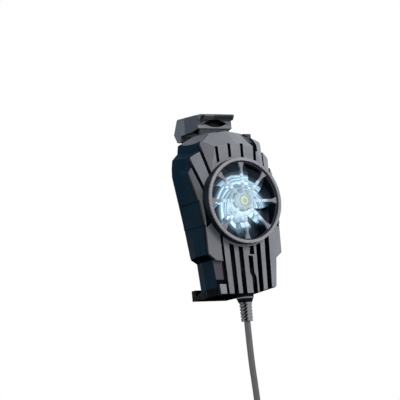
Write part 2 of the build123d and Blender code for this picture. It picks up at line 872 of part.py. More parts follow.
boot_top = -bottom_height - collar_length
boot_end = boot_top - boot_length


def make_boot():
    profile = flat([(0, boot_top), (0, boot_end), (boot_tip_radius, boot_end), (boot_radius, boot_top)])
    boot = revolve(Plane.XZ * profile, axis=Axis.Z)
    step = boot_length / (boot_ribs + 0.5)
    for index in range(boot_ribs):
        for side in (-1, 1):
            z = boot_top - step * (index + 0.75 + side / 4)
            groove_depth = boot_radius - boot_groove / 2 - cord_diameter / 4
            groove = Box(2 * groove_depth, 2 * boot_radius, boot_groove_height)
            boot -= Pos(side * boot_radius, 0, z) * groove
    return Pos(0, -exit_depth, 0) * boot


# Cord: the hanging stretch, the put-away coil and the tail with its plug

climb_steps = 2


def coil_nodes():
    """The bundle's places and directions, a quarter turn apart: inwards, across a layer, outwards."""
    inward = 4 * coil_turns_in
    total = inward + climb_steps + int(4 * coil_turns_out)
    nodes = []
    for index in range(total + 1):
        angle = -index * math.pi / 2
        past = index - inward
        if past <= 0:
            radius, depth, turn_in, climb = coil_inner_radius - past * coil_pitch / 4, exit_depth, -1, 0
        elif past < climb_steps:
            radius, depth, turn_in, climb = coil_inner_radius, exit_depth + coil_pitch / 2, 0, climb_share
        else:
            radius = coil_inner_radius + (past - climb_steps) * coil_pitch / 4
            depth, turn_in, climb = exit_depth + coil_pitch, 1, 0
        out = Vector(math.cos(angle), 0, math.sin(angle))
        along = Vector(math.sin(angle), 0, -math.cos(angle))
        place = Vector(cord_lead_x, -depth, coil_centre_z) + out * radius
        way = along * radius + out * (turn_in * coil_pitch / (2 * math.pi))
        way += Vector(0, -climb * coil_pitch / math.pi, 0)
        nodes.append((place, way.normalized()))
    return nodes


nodes = coil_nodes()
coil_start, coil_start_way = nodes[0]
coil_end, coil_end_way = nodes[-1]
lead_points = [(0, -exit_depth, boot_end)] + [(x, -exit_depth - out, z) for x, out, z in cord_route]
lead_points += [tuple(coil_start - coil_start_way * (lead_straight + cord_diameter)),
                tuple(coil_start - coil_start_way * cord_diameter)]


def corner_radii(points):
    """For each corner, a share of the shorter run divided by the tangent of half the turn."""
    places = [Vector(point) for point in points]
    radii = []
    for before, corner, after in zip(places, places[1:], places[2:]):
        turn = math.radians((corner - before).get_angle(after - corner))
        shorter = min((corner - before).length, (after - corner).length)
        radii.append(bend_share * shorter / math.tan(turn / 2))
    return radii


def make_run(name, points):
    radii = corner_radii(points)
    path = FilletPolyline(*points, radius=radii)
    run = tube(path, cord_diameter / 2, points[0], Vector(points[1]) - Vector(points[0]))
    section = math.pi * cord_diameter ** 2 / 4
    print(name, "radii", [round(radius, 1) for radius in radii], "length", round(path.length, 1),
          "volume share", round(run.volume / (section * path.length), 4))
    return run


def make_coil():
    before = coil_start - coil_start_way * cord_diameter
    after = coil_end + coil_end_way * cord_diameter
    path = Wire([Line(before, coil_start)] + list(joined(nodes).edges()) + [Line(coil_end, after)])
    coil = tube(path, cord_diameter / 2, before, coil_start_way)
    section = math.pi * cord_diameter ** 2 / 4
    print("cord_coil length", round(path.length, 1), "least gap", round(least_gap(path, cord_diameter), 2),
          "volume share", round(coil.volume / (section * path.length), 4))
    return coil


def make_tie():
    depth_low = exit_depth - cord_diameter / 2 - tie_clearance
    depth_high = exit_depth + coil_pitch + cord_diameter / 2 + tie_clearance
    low = cord_lead_x - coil_inner_radius - coil_turns_in * coil_pitch - cord_diameter / 2 - tie_clearance
    high = cord_lead_x - coil_inner_radius + cord_diameter / 2 + 2 * tie_clearance + tie_clearance / 2
    z_low = coil_centre_z - tie_width / 2
    outer = block(low - tie_thickness, high + tie_thickness, depth_low - tie_thickness,
                  depth_high + tie_thickness, z_low, z_low + tie_width)
    outer = fillet(outer.edges().filter_by(Axis.Z), 2 * tie_thickness)
    return outer - block(low, high, depth_low, depth_high, z_low - overrun, z_low + tie_width + overrun)


tail_start = coil_end + coil_end_way * cord_diameter
plug_x = tail_start.X + plug_shift
plug_y = tail_start.Y
neck_top = tail_start.Z - tail_length
tail_points = [tuple(tail_start), tuple(tail_start + coil_end_way * lead_straight),
               (plug_x - tail_lean, plug_y, neck_top + 2 * lead_straight),
               (plug_x, plug_y, neck_top + lead_straight / 2),
               (plug_x, plug_y, neck_top - grip_neck_length)]
grip_top = neck_top - grip_neck_length
grip_end = grip_top - grip_length
shell_end = grip_end - plug_length


def hanging_box(width, height, z_high, z_low):
    """A box centred on the plug's own upright line."""
    return Pos(plug_x, plug_y, (z_high + z_low) / 2) * Box(width, height, z_high - z_low)


def make_plug_grip():
    grip = hanging_box(grip_width, grip_height, grip_top, grip_end)
    grip = fillet(grip.edges().filter_by(Axis.Z), grip_round)
    neck = Pos(plug_x, plug_y, (neck_top + grip_top) / 2) * Cylinder(grip_neck_radius, grip_neck_length)
    return grip + neck - Pos(plug_x, plug_y, neck_top) * Cylinder(cord_diameter / 2, 2 * grip_neck_length)


def make_plug_shell():
    shell = hanging_box(plug_width, plug_height, grip_end, shell_end)
    bore_width = plug_width - 2 * plug_wall
    bore_height = plug_height - 2 * plug_wall
    return shell - hanging_box(bore_width, bore_height, grip_end, shell_end - overrun)


def make_plug_tongue():
    width = plug_width - 2 * plug_wall
    rest = plug_height / 2 - plug_wall
    tongue = hanging_box(width, tongue_thickness, grip_end, shell_end + tongue_gap)
    return Pos(0, rest - tongue_thickness / 2, 0) * tongue


os.makedirs("parts", exist_ok=True)

save("main_shell", make_shell())
for name, solids in sort_plates(make_plates()).items():
    print(name, len(solids))
    save(name, Compound(children=solids))
save("fan_ring", make_ring())
save("ring_trim", make_trim())
save("fan_guard", make_guard())
save("fan_frame", make_frame())
save("shaft_bearing", make_bearing())
save("fan_stator", make_stator())
save("light_board", make_light_board())
save("light_lamps", make_lamps())
save("fan_impeller", make_impeller())
save("rotor_magnet", make_magnet())
save("rotor_shaft", make_shaft())
save("phone_pad", slab(square(pad_side), 0, cold_near))
save("cold_plate", slab(square(cold_side), cold_near, module_near))
save("peltier_module", make_module())
save("module_gasket", make_gasket())
save("heat_sink", make_sink())
save("rear_cover", make_rear_cover())
save("case_screws", make_screws())
save("control_board", make_board())
save("clamp_arm", make_arm())
save("arm_guides", make_guides())
save("clamp_cap", make_cap())
save("upper_grip", make_grip(upper_grip_z))
save("lower_grip", make_grip(jaw_top_z))
save("lower_jaw", make_lower_jaw())
save("clamp_spring_left", make_spring(-1))
save("clamp_spring_right", make_spring(1))
save("spring_posts", make_posts())
save("cable_collar", make_collar())
save("strain_relief", make_boot())
save("cord_hanging", make_run("cord_hanging", lead_points))
save("cord_coil", make_coil())
save("coil_tie", make_tie())
save("cord_tail", make_run("cord_tail", tail_points))
save("usb_grip", make_plug_grip())
save("usb_shell", make_plug_shell())
save("usb_tongue", make_plug_tongue())
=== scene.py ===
import math
from collections import namedtuple

import bpy
from mathutils import Matrix, Vector


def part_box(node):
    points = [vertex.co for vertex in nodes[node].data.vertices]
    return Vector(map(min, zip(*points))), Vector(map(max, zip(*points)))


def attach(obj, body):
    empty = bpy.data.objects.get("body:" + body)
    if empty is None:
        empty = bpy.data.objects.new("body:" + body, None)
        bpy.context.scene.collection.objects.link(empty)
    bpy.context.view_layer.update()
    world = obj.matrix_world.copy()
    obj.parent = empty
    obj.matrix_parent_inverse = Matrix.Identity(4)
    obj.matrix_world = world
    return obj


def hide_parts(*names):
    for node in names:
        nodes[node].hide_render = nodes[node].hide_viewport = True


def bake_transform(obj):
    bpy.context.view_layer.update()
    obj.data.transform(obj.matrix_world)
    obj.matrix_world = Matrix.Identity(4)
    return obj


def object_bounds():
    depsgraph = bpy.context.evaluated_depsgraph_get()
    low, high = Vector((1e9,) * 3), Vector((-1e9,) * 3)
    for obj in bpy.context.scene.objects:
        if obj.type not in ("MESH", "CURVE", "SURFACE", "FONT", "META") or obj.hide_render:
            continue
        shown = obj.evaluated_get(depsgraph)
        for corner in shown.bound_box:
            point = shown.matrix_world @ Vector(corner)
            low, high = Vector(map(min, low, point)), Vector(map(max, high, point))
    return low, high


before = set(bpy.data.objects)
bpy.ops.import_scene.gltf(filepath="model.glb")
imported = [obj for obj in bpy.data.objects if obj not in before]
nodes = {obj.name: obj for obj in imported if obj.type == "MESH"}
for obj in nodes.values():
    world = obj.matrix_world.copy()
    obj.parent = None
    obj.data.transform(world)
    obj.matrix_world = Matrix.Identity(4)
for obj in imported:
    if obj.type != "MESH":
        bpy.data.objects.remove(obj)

cad_low, cad_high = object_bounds()

# Lengths are in metres. The fan's axis runs along Y through the origin, and the fan looks to -Y.

# Depths from the phone's back to the front of the fan's ring and to the middle of the cable
FAN_FACE = 0.023
EXIT_DEPTH = 0.0152
# Height at which the cord leaves the strain relief
BOOT_END = -0.0512


def add_object(name, data):
    made = bpy.data.objects.new(name, data)
    bpy.context.collection.objects.link(made)
    return made


# Camera, standing where the photo was taken from

# Angles in degrees, its distance back and aside from the fan's face, and lens and sensor in millimetres
AZIMUTH = -34.0
ELEVATION = -7.9
ROLL = -5.5
DISTANCE = 1.0694
ASIDE = 0.0196
SENSOR_WIDTH = 36
FOCAL_LENGTH = 225
NEAREST = 0.05
FARTHEST = 20


def add_camera():
    azimuth, elevation, roll = (math.radians(angle) for angle in (AZIMUTH, ELEVATION, ROLL))
    ahead = Vector((-math.sin(azimuth) * math.cos(elevation), math.cos(azimuth) * math.cos(elevation),
                    -math.sin(elevation)))
    level = ahead.cross(Vector((0, 0, 1))).normalized()
    upright = level.cross(ahead)
    right = level * math.cos(roll) + upright * math.sin(roll)
    up = upright * math.cos(roll) - level * math.sin(roll)
    data = bpy.data.cameras.new("camera")
    data.sensor_width = SENSOR_WIDTH
    data.lens = FOCAL_LENGTH
    data.clip_start = NEAREST
    data.clip_end = FARTHEST
    camera = add_object("camera", data)
    place = Vector((0, -FAN_FACE, 0)) - (right * ASIDE + ahead * DISTANCE)
    camera.matrix_world = Matrix.Translation(place) @ Matrix((right, up, -ahead)).transposed().to_4x4()
    bpy.context.scene.camera = camera


# Cord: one line from the strain relief through the put-away coil to the plug

CORD_DIAMETER = 0.0028
# Its hanging stretch, as X and Z
LEAD = [(0, BOOT_END), (0, -0.066), (0.0009, -0.080), (0.0014, -0.092), (0.0095, -0.1035),
        (0.0205, -0.113)]
# The coil winds inwards, steps over a layer in half a turn, and winds outwards again
COIL_X = 0.0014
COIL_Z = -0.132
COIL_INNER = 0.0084
COIL_PITCH = 0.00375
TURNS_IN = 4
TURNS_OUT = 4.5
STEP_OVER = 0.5
POINTS_PER_TURN = 16
# The straight stretches above and below the coil, and how far the upper one leans aside
COIL_LEAD = 0.0118
LEAD_ASIDE = 0.0003
# The plug's place beside and below the coil's end, and the cord's last points as X and Z from there
PLUG_ASIDE = 0.002
PLUG_DROP = 0.0388
TAIL = [(-0.0003, 0.018), (0, 0.0045), (0, -0.005)]


def spiral_point(turns):
    """A place on the coil's line, so many turns after its start."""
    climb = min(max((turns - TURNS_IN) / STEP_OVER, 0), 1)
    radius = COIL_INNER + COIL_PITCH * (max(TURNS_IN - turns, 0) + max(turns - TURNS_IN - STEP_OVER, 0))
    angle = -2 * math.pi * turns
    depth = EXIT_DEPTH + COIL_PITCH * (3 - 2 * climb) * climb ** 2
    return (COIL_X + radius * math.cos(angle), -depth, COIL_Z + radius * math.sin(angle))


def cord_points():
    points = [(x, -EXIT_DEPTH, z) for x, z in LEAD]
    first_x, depth, first_z = spiral_point(0)
    points.append((first_x + LEAD_ASIDE, depth, first_z + COIL_LEAD))
    turns = TURNS_IN + STEP_OVER + TURNS_OUT
    points += [spiral_point(index / POINTS_PER_TURN) for index in range(int(turns * POINTS_PER_TURN) + 1)]
    last_x, depth, last_z = points[-1]
    points.append((last_x, depth, last_z - COIL_LEAD))
    points += [(last_x + PLUG_ASIDE + x, depth, last_z - PLUG_DROP + z) for x, z in TAIL]
    return points


def round_line(name, diameter, places, round_steps):
    """A round bar along a line, as curve data, and its spline with its control points in place."""
    data = bpy.data.curves.new(name, "CURVE")
    data.dimensions = "3D"
    data.bevel_depth = diameter / 2
    data.bevel_resolution = round_steps
    data.use_fill_caps = True
    spline = data.splines.new("NURBS")
    spline.points.add(len(places) - 1)
    for point, place in zip(spline.points, places):
        point.co = (*place, 1)
    return data, spline


def add_cord(finish):
    data, spline = round_line("cord", CORD_DIAMETER, cord_points(), round_steps=5)
    spline.order_u = 3
    spline.use_endpoint_u = True
    spline.resolution_u = 6
    cord = add_object("cord", data)
    data.materials.append(finish)
    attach(cord, "housing")
    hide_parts("cord_hanging", "cord_coil", "cord_tail")


# Clamp springs: each turn follows the arm's travel between its post and the arm's leg

SPRING_WIRE = 0.0004
SPRING_TURNS = 9
POINTS_PER_COIL = 12


def helix_points(low, high):
    """Places along a spring's wire that fill a box, from its low end to its high end."""
    middle = (low + high) / 2
    radius = (high.x - low.x - SPRING_WIRE) / 2
    count = POINTS_PER_COIL * SPRING_TURNS
    points = []
    for index in range(count + 1):
        angle = 2 * math.pi * SPRING_TURNS * index / count
        z = low.z + SPRING_WIRE / 2 + (high.z - low.z - SPRING_WIRE) * index / count
        points.append((middle.x + radius * math.cos(angle), middle.y + radius * math.sin(angle), z))
    return points


def add_spring(side, finish):
    low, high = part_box("clamp_spring_" + side)
    data, spline = round_line("spring_" + side, SPRING_WIRE, helix_points(low, high), round_steps=3)
    spline.order_u = 4
    spline.use_endpoint_u = True
    spline.resolution_u = 3
    curve = add_object("spring_line_" + side, data)
    bpy.context.view_layer.update()
    mesh = bpy.data.meshes.new_from_object(curve.evaluated_get(bpy.context.evaluated_depsgraph_get()))
    bpy.data.objects.remove(curve)
    spring = add_object("spring_" + side, mesh)
    mesh.materials.clear()
    mesh.materials.append(finish)
    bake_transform(spring)
    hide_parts("clamp_spring_" + side)


# Node helpers. A value is a number or a node's output, and where is the place on the piece, in metres.

# The range that noise mostly stays in
NOISE_LOW = 0.3
NOISE_HIGH = 0.7
# A Mix node's colour inputs and output, which share their names with others
MIX_FIRST = 6
MIX_SECOND = 7
MIX_RESULT = 2


def feed(tree, value, socket):
    """Gives a socket a number, a colour or what another node puts out."""
    if isinstance(value, (int, float)):
        socket.default_value = value
    elif isinstance(value, tuple):
        socket.default_value = (*value, 1)
    else:
        tree.links.new(value, socket)


def place_on(tree):
    """The place on the piece, which no view or pose changes."""
    return tree.nodes.new("ShaderNodeTexCoord").outputs["Object"]


def split(tree, vector):
    """The X, Y and Z of a vector."""
    parts = tree.nodes.new("ShaderNodeSeparateXYZ")
    tree.links.new(vector, parts.inputs["Vector"])
    return parts.outputs


def noise(tree, where, scale, detail=3.0, stretch=None):
    """Soft noise with so many features to a metre, which stretch multiplies along X, Y and Z."""
    if stretch:
        mapping = tree.nodes.new("ShaderNodeMapping")
        mapping.inputs["Scale"].default_value = stretch
        tree.links.new(where, mapping.inputs["Vector"])
        where = mapping.outputs["Vector"]
    texture = tree.nodes.new("ShaderNodeTexNoise")
    texture.inputs["Scale"].default_value = scale
    texture.inputs["Detail"].default_value = detail
    tree.links.new(where, texture.inputs["Vector"])
    return texture.outputs["Fac"]


def spread(tree, value, low, high, from_low=NOISE_LOW, from_high=NOISE_HIGH):
    """A value between low and high, for one that runs between from_low and from_high."""
    node = tree.nodes.new("ShaderNodeMapRange")
    node.inputs["From Min"].default_value = from_low
    node.inputs["From Max"].default_value = from_high
    node.inputs["To Min"].default_value = low
    node.inputs["To Max"].default_value = high
    tree.links.new(value, node.inputs["Value"])
    return node.outputs["Result"]


def rises(tree, value, start, end):
    """0 up to the start, and 1 from the end on."""
    return spread(tree, value, 0.0, 1.0, start, end)


def falls(tree, value, start, end):
    """1 up to the start, and 0 from the end on."""
    return spread(tree, value, 1.0, 0.0, start, end)


def ramp(tree, value, stops):
    """The colour that a list of places and colours gives for a value."""
    node = tree.nodes.new("ShaderNodeValToRGB")
    band = node.color_ramp
    while len(band.elements) < len(stops):
        band.elements.new(0.5)
    for element, (place, color) in zip(band.elements, stops):
        element.position = place
        element.color = (*color, 1)
    tree.links.new(value, node.inputs["Fac"])
    return node.outputs["Color"]


def math_node(tree, kind, first, second=0.0):
    node = tree.nodes.new("ShaderNodeMath")
    node.operation = kind
    feed(tree, first, node.inputs[0])
    feed(tree, second, node.inputs[1])
    return node.outputs["Value"]


def blend_colors(tree, amount, first, second, kind="MIX"):
    """The first colour where the amount is 0, and the second, or their product, where it is 1."""
    mix = tree.nodes.new("ShaderNodeMix")
    mix.data_type = "RGBA"
    mix.blend_type = kind
    feed(tree, amount, mix.inputs["Factor"])
    feed(tree, first, mix.inputs[MIX_FIRST])
    feed(tree, second, mix.inputs[MIX_SECOND])
    return mix.outputs[MIX_RESULT]


def scaled(tree, color, share):
    """A colour made lighter or darker by a share."""
    node = tree.nodes.new("ShaderNodeVectorMath")
    node.operation = "SCALE"
    tree.links.new(color, node.inputs[0])
    tree.links.new(share, node.inputs["Scale"])
    return node.outputs["Vector"]


def within(tree, where, low, high):
    """1 inside a box given by two corners, and 0 outside it."""
    parts = split(tree, where)
    inside = 1.0
    for axis, least, most in zip("XYZ", low, high):
        above = math_node(tree, "GREATER_THAN", parts[axis], least)
        shade_below = math_node(tree, "LESS_THAN", parts[axis], most)
        inside = math_node(tree, "MULTIPLY", inside, math_node(tree, "MULTIPLY", above, shade_below))
    return inside


def radius_from_axis(tree, where):
    """Distance from the fan's axis."""
    parts = split(tree, where)
    squares = [math_node(tree, "MULTIPLY", parts[axis], parts[axis]) for axis in ("X", "Z")]
    return math_node(tree, "POWER", math_node(tree, "ADD", *squares), 0.5)


def add_bump(tree, shader, height, strength, depth, normal=None):
    bump = tree.nodes.new("ShaderNodeBump")
    bump.inputs["Strength"].default_value = strength
    bump.inputs["Distance"].default_value = depth
    tree.links.new(height, bump.inputs["Height"])
    if normal:
        tree.links.new(normal, bump.inputs["Normal"])
    tree.links.new(bump.outputs["Normal"], shader.inputs["Normal"])


# Masks by the way a face looks: each changes between the two values of its pair

EDGE_TURN = (0.75, 0.99)
OUT_TURN = (0.25, 0.45)
FRONT_TURN = (-0.5, -0.3)
UNDER_TURN = (-0.7, -0.4)
PANEL_TURN = (0.4, 0.45)
FACET_TURN = (-0.3, 0.3)


def edge_mask(tree, radius):
    """A mask that is 1 along edges, and the softened surface whose turn from the flat one gives it."""
    bevel = tree.nodes.new("ShaderNodeBevel")
    bevel.inputs["Radius"].default_value = radius
    geometry = tree.nodes.new("ShaderNodeNewGeometry")
    dot = tree.nodes.new("ShaderNodeVectorMath")
    dot.operation = "DOT_PRODUCT"
    tree.links.new(bevel.outputs["Normal"], dot.inputs[0])
    tree.links.new(geometry.outputs["Normal"], dot.inputs[1])
    return falls(tree, dot.outputs["Value"], *EDGE_TURN), bevel.outputs["Normal"]


def facing(tree):
    """The three parts of the direction that a flat face looks in."""
    return split(tree, tree.nodes.new("ShaderNodeNewGeometry").outputs["True Normal"])


def facing_out(tree):
    """1 on faces that look along the fan's axis, and 0 on the walls between them."""
    return rises(tree, math_node(tree, "ABSOLUTE", facing(tree)["Y"]), *OUT_TURN)


# Light of the fan: the lamps' own, and light painted on the blades, the guard and the pieces behind them

# How far it reaches from the axis. Below, radii are shares of this one, and colours run from the axis to it.
LIT_RADIUS = 0.0172
# Soft arcs: how quickly their noise runs across and along them, its scale, and the range they fade in over
ARC_ACROSS = 11.0
ARC_ALONG = 45.0
ARC_SCALE = 1.6
ARC_NOISE = (0.42, 0.66)
# Thin lines: half their spacing, the edge of one, and how far and at what scale they wander
HALF_SPACING = 0.045
LINE_EDGE = (0.002, 0.009)
LINE_WANDER = 0.35
WANDER_SCALE = 45.0
# Where the thin lines show: the scale of the noise, and the range they fade in over
LINE_SCALE = 110.0
LINE_NOISE = (0.48, 0.56)
# Light between the arcs, as a share of theirs, on a surface and in frosted plastic
SURFACE_GAP = 0.35
PLASTIC_ARCS = [(0.0, (0.10, 0.16, 0.22)), (1.0, (1.3, 1.3, 1.3))]
# Where the guard is nearly black, over how much it fades to that, and the colour there
GUARD_RIM = 0.968
RIM_FADE = 0.004
RIM_BLACK = (0.006, 0.007, 0.010)
# Colours of the light painted on the blades, of the lamps, and of the light painted where it spills on the
# pieces behind the fan
BLADE_LIGHT = [(0.0, (0.48, 0.66, 0.22)), (0.09, (0.46, 0.64, 0.42)), (0.16, (0.36, 0.50, 0.56)),
               (0.40, (0.60, 0.80, 0.92)), (0.64, (0.55, 0.78, 0.92)), (0.71, (0.06, 0.10, 0.14)),
               (0.80, (0.006, 0.01, 0.016)), (1.0, (0.0, 0.002, 0.005))]
LAMP_LIGHT = [(0.0, (0.8, 0.95, 1.0)), (1.0, (0.8, 0.95, 1.0))]
BLACK = (0.0005, 0.0006, 0.001)
SPILL_LIGHT = [(0.0, (0.35, 0.50, 0.58)), (0.60, (0.22, 0.36, 0.46)), (0.80, (0.02, 0.04, 0.06)),
               (0.95, BLACK)]


def lit_share(tree, where):
    """Distance from the fan's axis, as a share of the lit radius."""
    return rises(tree, radius_from_axis(tree, where), 0.0, LIT_RADIUS)


def arcs(tree, where, radius):
    """1 in soft arcs and thin lines round the fan's axis, like light caught on its blades, and 0 between."""
    parts = split(tree, where)
    ring = tree.nodes.new("ShaderNodeCombineXYZ")
    tree.links.new(math_node(tree, "MULTIPLY", radius, ARC_ACROSS), ring.inputs["X"])
    tree.links.new(math_node(tree, "MULTIPLY", parts["X"], ARC_ALONG), ring.inputs["Y"])
    tree.links.new(math_node(tree, "MULTIPLY", parts["Z"], ARC_ALONG), ring.inputs["Z"])
    soft = rises(tree, noise(tree, ring.outputs["Vector"], ARC_SCALE, detail=4.0), *ARC_NOISE)
    wander = math_node(tree, "MULTIPLY", noise(tree, where, WANDER_SCALE, detail=1.0), LINE_WANDER)
    from_line = math_node(tree, "PINGPONG", math_node(tree, "ADD", radius, wander), HALF_SPACING)
    shown = rises(tree, noise(tree, where, LINE_SCALE, detail=1.0), *LINE_NOISE)
    line = math_node(tree, "MULTIPLY", falls(tree, from_line, *LINE_EDGE), shown)
    return math_node(tree, "MAXIMUM", soft, line)


# Materials

# A box in the part's frame that changes a colour, perhaps only on faces that look one way along an axis
Panel = namedtuple("Panel", "low high color axis way", defaults=(None, 1.0))

# Noise features to a metre: patches of colour, paler edges from wear and a painted highlight, and sheen
MOTTLE_NOISE = 90.0
WEAR_AND_HIGHLIGHT_NOISE = 400.0
SHEEN_NOISE = 260.0
# The noise at which a patch is darkest and lightest
MOTTLE_RANGE = (0.35, 0.65)
# How much paler full wear and the painted highlight make a colour, by a share and by an amount, and the
# least share of them along an edge
WEAR_AND_HIGHLIGHT_GAIN = 2
WEAR_AND_HIGHLIGHT_LIFT = 0.02
LEAST_WEAR_AND_HIGHLIGHT = 0.35
# How far sheen varies, as a share, and how strongly grain shows
SHEEN_SWING = 0.15
GRAIN_STRENGTH = 0.35
# Half the width over which painted light makes the front's plates lighter to the right
SIDE_LIGHT_REACH = 0.016
# Frosted plastic: its roughness and shine, and its grain's features to a metre, strength and depth
FROST_ROUGHNESS = 0.35
FROST_SHINE = 0.1
FROST_GRAIN = 1600.0
FROST_STRENGTH = 0.3
FROST_DEPTH = 0.00003


def new_material(name):
    material = bpy.data.materials.new(name)
    material.use_nodes = True
    tree = material.node_tree
    return material, tree, tree.nodes["Principled BSDF"], place_on(tree)


def add_lamplight(tree, shader, where, colors, strength):
    """Painted lamplight, as emission, that falls on a surface in arcs."""
    radius = lit_share(tree, where)
    amount = spread(tree, arcs(tree, where, radius), SURFACE_GAP, 1.0, 0.0, 1.0)
    tree.links.new(scaled(tree, ramp(tree, radius, colors), amount), shader.inputs["Emission Color"])
    shader.inputs["Emission Strength"].default_value = strength


def worn_and_highlit_color(tree, where, color, mottle, wear_and_highlight, edge):
    """A colour in faint patches, paler along edges where rubbed and where a highlight is painted, and the
    softened surface that goes with it.
    """
    low = tuple(c * (1 - mottle) for c in color)
    high = tuple(min(1.0, c * (1 + mottle)) for c in color)
    worn_and_highlit = tuple(min(1.0, c * (1 + WEAR_AND_HIGHLIGHT_GAIN * wear_and_highlight) + WEAR_AND_HIGHLIGHT_LIFT * wear_and_highlight) for c in color)
    patches = noise(tree, where, MOTTLE_NOISE, detail=4.0)
    base = ramp(tree, patches, list(zip(MOTTLE_RANGE, (low, high))))
    # Edges are painted paler: partly wear, in patches, and partly a painted highlight along every edge.
    mask, soft_normal = edge_mask(tree, edge)
    patchy = spread(tree, noise(tree, where, WEAR_AND_HIGHLIGHT_NOISE), LEAST_WEAR_AND_HIGHLIGHT, 1.0)
    amount = math_node(tree, "MULTIPLY", mask, patchy)
    return blend_colors(tree, amount, base, worn_and_highlit), soft_normal


def with_panel(tree, where, base, panel):
    """A colour with another one inside a panel's box, on all faces there or on those that look one way."""
    chosen = within(tree, where, panel.low, panel.high)
    if panel.axis:
        turned = rises(tree, math_node(tree, "MULTIPLY", facing(tree)[panel.axis], panel.way), *PANEL_TURN)
        chosen = math_node(tree, "MULTIPLY", chosen, turned)
    return blend_colors(tree, chosen, base, panel.color)


def surface(name, color, roughness, metallic=0.0, grain=2200.0, grain_depth=0.00001, mottle=0.12, wear_and_highlight=0.25,
            edge=0.0002, stretch=None, coat=0.0, shine=0.5, walls=None, under_shade=None, panels=(), facet_light=0.0,
            side_light=None, glow=None):
    """A moulded, painted or milled surface: fine grain, faint mottling, and soft edges that are paler where
    rubbed and where a highlight is painted.

    Walls and undersides may take a dark colour as painted shade, panels change the colour inside boxes,
    faces that look towards +X may be painted lighter and those towards -X darker, the left and the right
    side may be painted lighter or darker as by light from one side, and glow is the colours and the strength
    of painted lamplight on the surface.
    """
    material, tree, shader, where = new_material(name)
    shader.inputs["Metallic"].default_value = metallic
    shader.inputs["Coat Weight"].default_value = coat
    shader.inputs["Specular IOR Level"].default_value = shine
    if glow:
        add_lamplight(tree, shader, where, *glow)
    base, soft_normal = worn_and_highlit_color(tree, where, color, mottle, wear_and_highlight, edge)
    for panel in panels:
        base = with_panel(tree, where, base, panel)
    # Painted light: the colour grows lighter from the left side to the right, as if lit from the right.
    if side_light:
        base = scaled(tree, base, spread(tree, split(tree, where)["X"], *side_light, -SIDE_LIGHT_REACH, SIDE_LIGHT_REACH))
    # Painted light and shade: faces that look towards +X are lighter and those towards -X darker.
    if facet_light:
        base = scaled(tree, base, spread(tree, facing(tree)["X"], 1 - facet_light, 1 + facet_light, *FACET_TURN))
    # Painted shade: walls that don't look along the fan's axis take a dark colour.
    if walls:
        base = blend_colors(tree, facing_out(tree), walls, base)
    # Painted shade: faces that look down take a dark colour and lose their shine.
    if under_shade:
        shade_below = falls(tree, facing(tree)["Z"], *UNDER_TURN)
        base = blend_colors(tree, shade_below, base, under_shade)
        tree.links.new(spread(tree, shade_below, shine, 0.0, 0.0, 1.0), shader.inputs["Specular IOR Level"])
    tree.links.new(base, shader.inputs["Base Color"])
    smoothest = roughness * (1 - SHEEN_SWING)
    roughest = min(1.0, roughness * (1 + SHEEN_SWING))
    sheen = spread(tree, noise(tree, where, SHEEN_NOISE), smoothest, roughest)
    tree.links.new(sheen, shader.inputs["Roughness"])
    texture = noise(tree, where, grain, detail=2.0, stretch=stretch)
    add_bump(tree, shader, texture, GRAIN_STRENGTH, grain_depth, soft_normal)
    return material


def glow_material(name, color, colors, strength, contrast=0.75, rim=None):
    """Frosted plastic lit from behind, as emission that falls off with distance from the fan's axis, in
    arcs: painted light on the blades and the guard, and the lamps' own light.

    Contrast is how much of the arcs shows. Past the rim, a share of the lit radius, the plastic is nearly
    black.
    """
    material, tree, shader, where = new_material(name)
    radius = lit_share(tree, where)
    amount = ramp(tree, arcs(tree, where, radius), PLASTIC_ARCS)
    light = blend_colors(tree, contrast, ramp(tree, radius, colors), amount, kind="MULTIPLY")
    tree.links.new(light, shader.inputs["Emission Color"])
    shader.inputs["Emission Strength"].default_value = strength
    shader.inputs["Base Color"].default_value = (*color, 1)
    if rim:
        plastic = ramp(tree, radius, [(0.0, color), (rim - RIM_FADE, color), (rim, RIM_BLACK)])
        tree.links.new(plastic, shader.inputs["Base Color"])
    shader.inputs["Roughness"].default_value = FROST_ROUGHNESS
    shader.inputs["Specular IOR Level"].default_value = FROST_SHINE
    add_bump(tree, shader, noise(tree, where, FROST_GRAIN), FROST_STRENGTH, FROST_DEPTH)
    return material


# Painted shade in a zigzag crease on the strain relief, between its columns of ribs: where it runs, how far
# it sways, and its edge and colour
RIB_STEP = 0.00145
ZIGZAG_X = -1.31 * RIB_STEP
ZIGZAG_SWAY = 0.8
ZIGZAG_EDGE = (0.00040, 0.00055)
ZIGZAG_SHADE = (0.001, 0.001, 0.002)
BOOT_SHINE = 0.3


def ribbed(name, color):
    """The strain relief's plastic, with painted shade in a dark zigzag down its front, in the crease between
    two columns of ribs.
    """
    material = surface(name, color, 0.5, wear_and_highlight=0.4, shine=BOOT_SHINE, edge=0.00012)
    tree = material.node_tree
    shader = tree.nodes["Principled BSDF"]
    parts = split(tree, place_on(tree))
    sway = math_node(tree, "PINGPONG", parts["Z"], RIB_STEP / 2)
    middle = math_node(tree, "ADD", math_node(tree, "MULTIPLY", sway, ZIGZAG_SWAY), ZIGZAG_X)
    aside = math_node(tree, "ABSOLUTE", math_node(tree, "SUBTRACT", parts["X"], middle))
    front = falls(tree, facing(tree)["Y"], *FRONT_TURN)
    # The zigzag is painted shade, and it loses its shine.
    zigzag = math_node(tree, "MULTIPLY", falls(tree, aside, *ZIGZAG_EDGE), front)
    plain = shader.inputs["Base Color"].links[0].from_socket
    tree.links.new(blend_colors(tree, zigzag, plain, ZIGZAG_SHADE), shader.inputs["Base Color"])
    tree.links.new(spread(tree, zigzag, BOOT_SHINE, 0.0, 0.0, 1.0), shader.inputs["Specular IOR Level"])
    return material


def dress(material, *names):
    """Gives CAD nodes a material."""
    for name in names:
        mesh = nodes[name].data
        mesh.materials.clear()
        mesh.materials.append(material)


# Housing

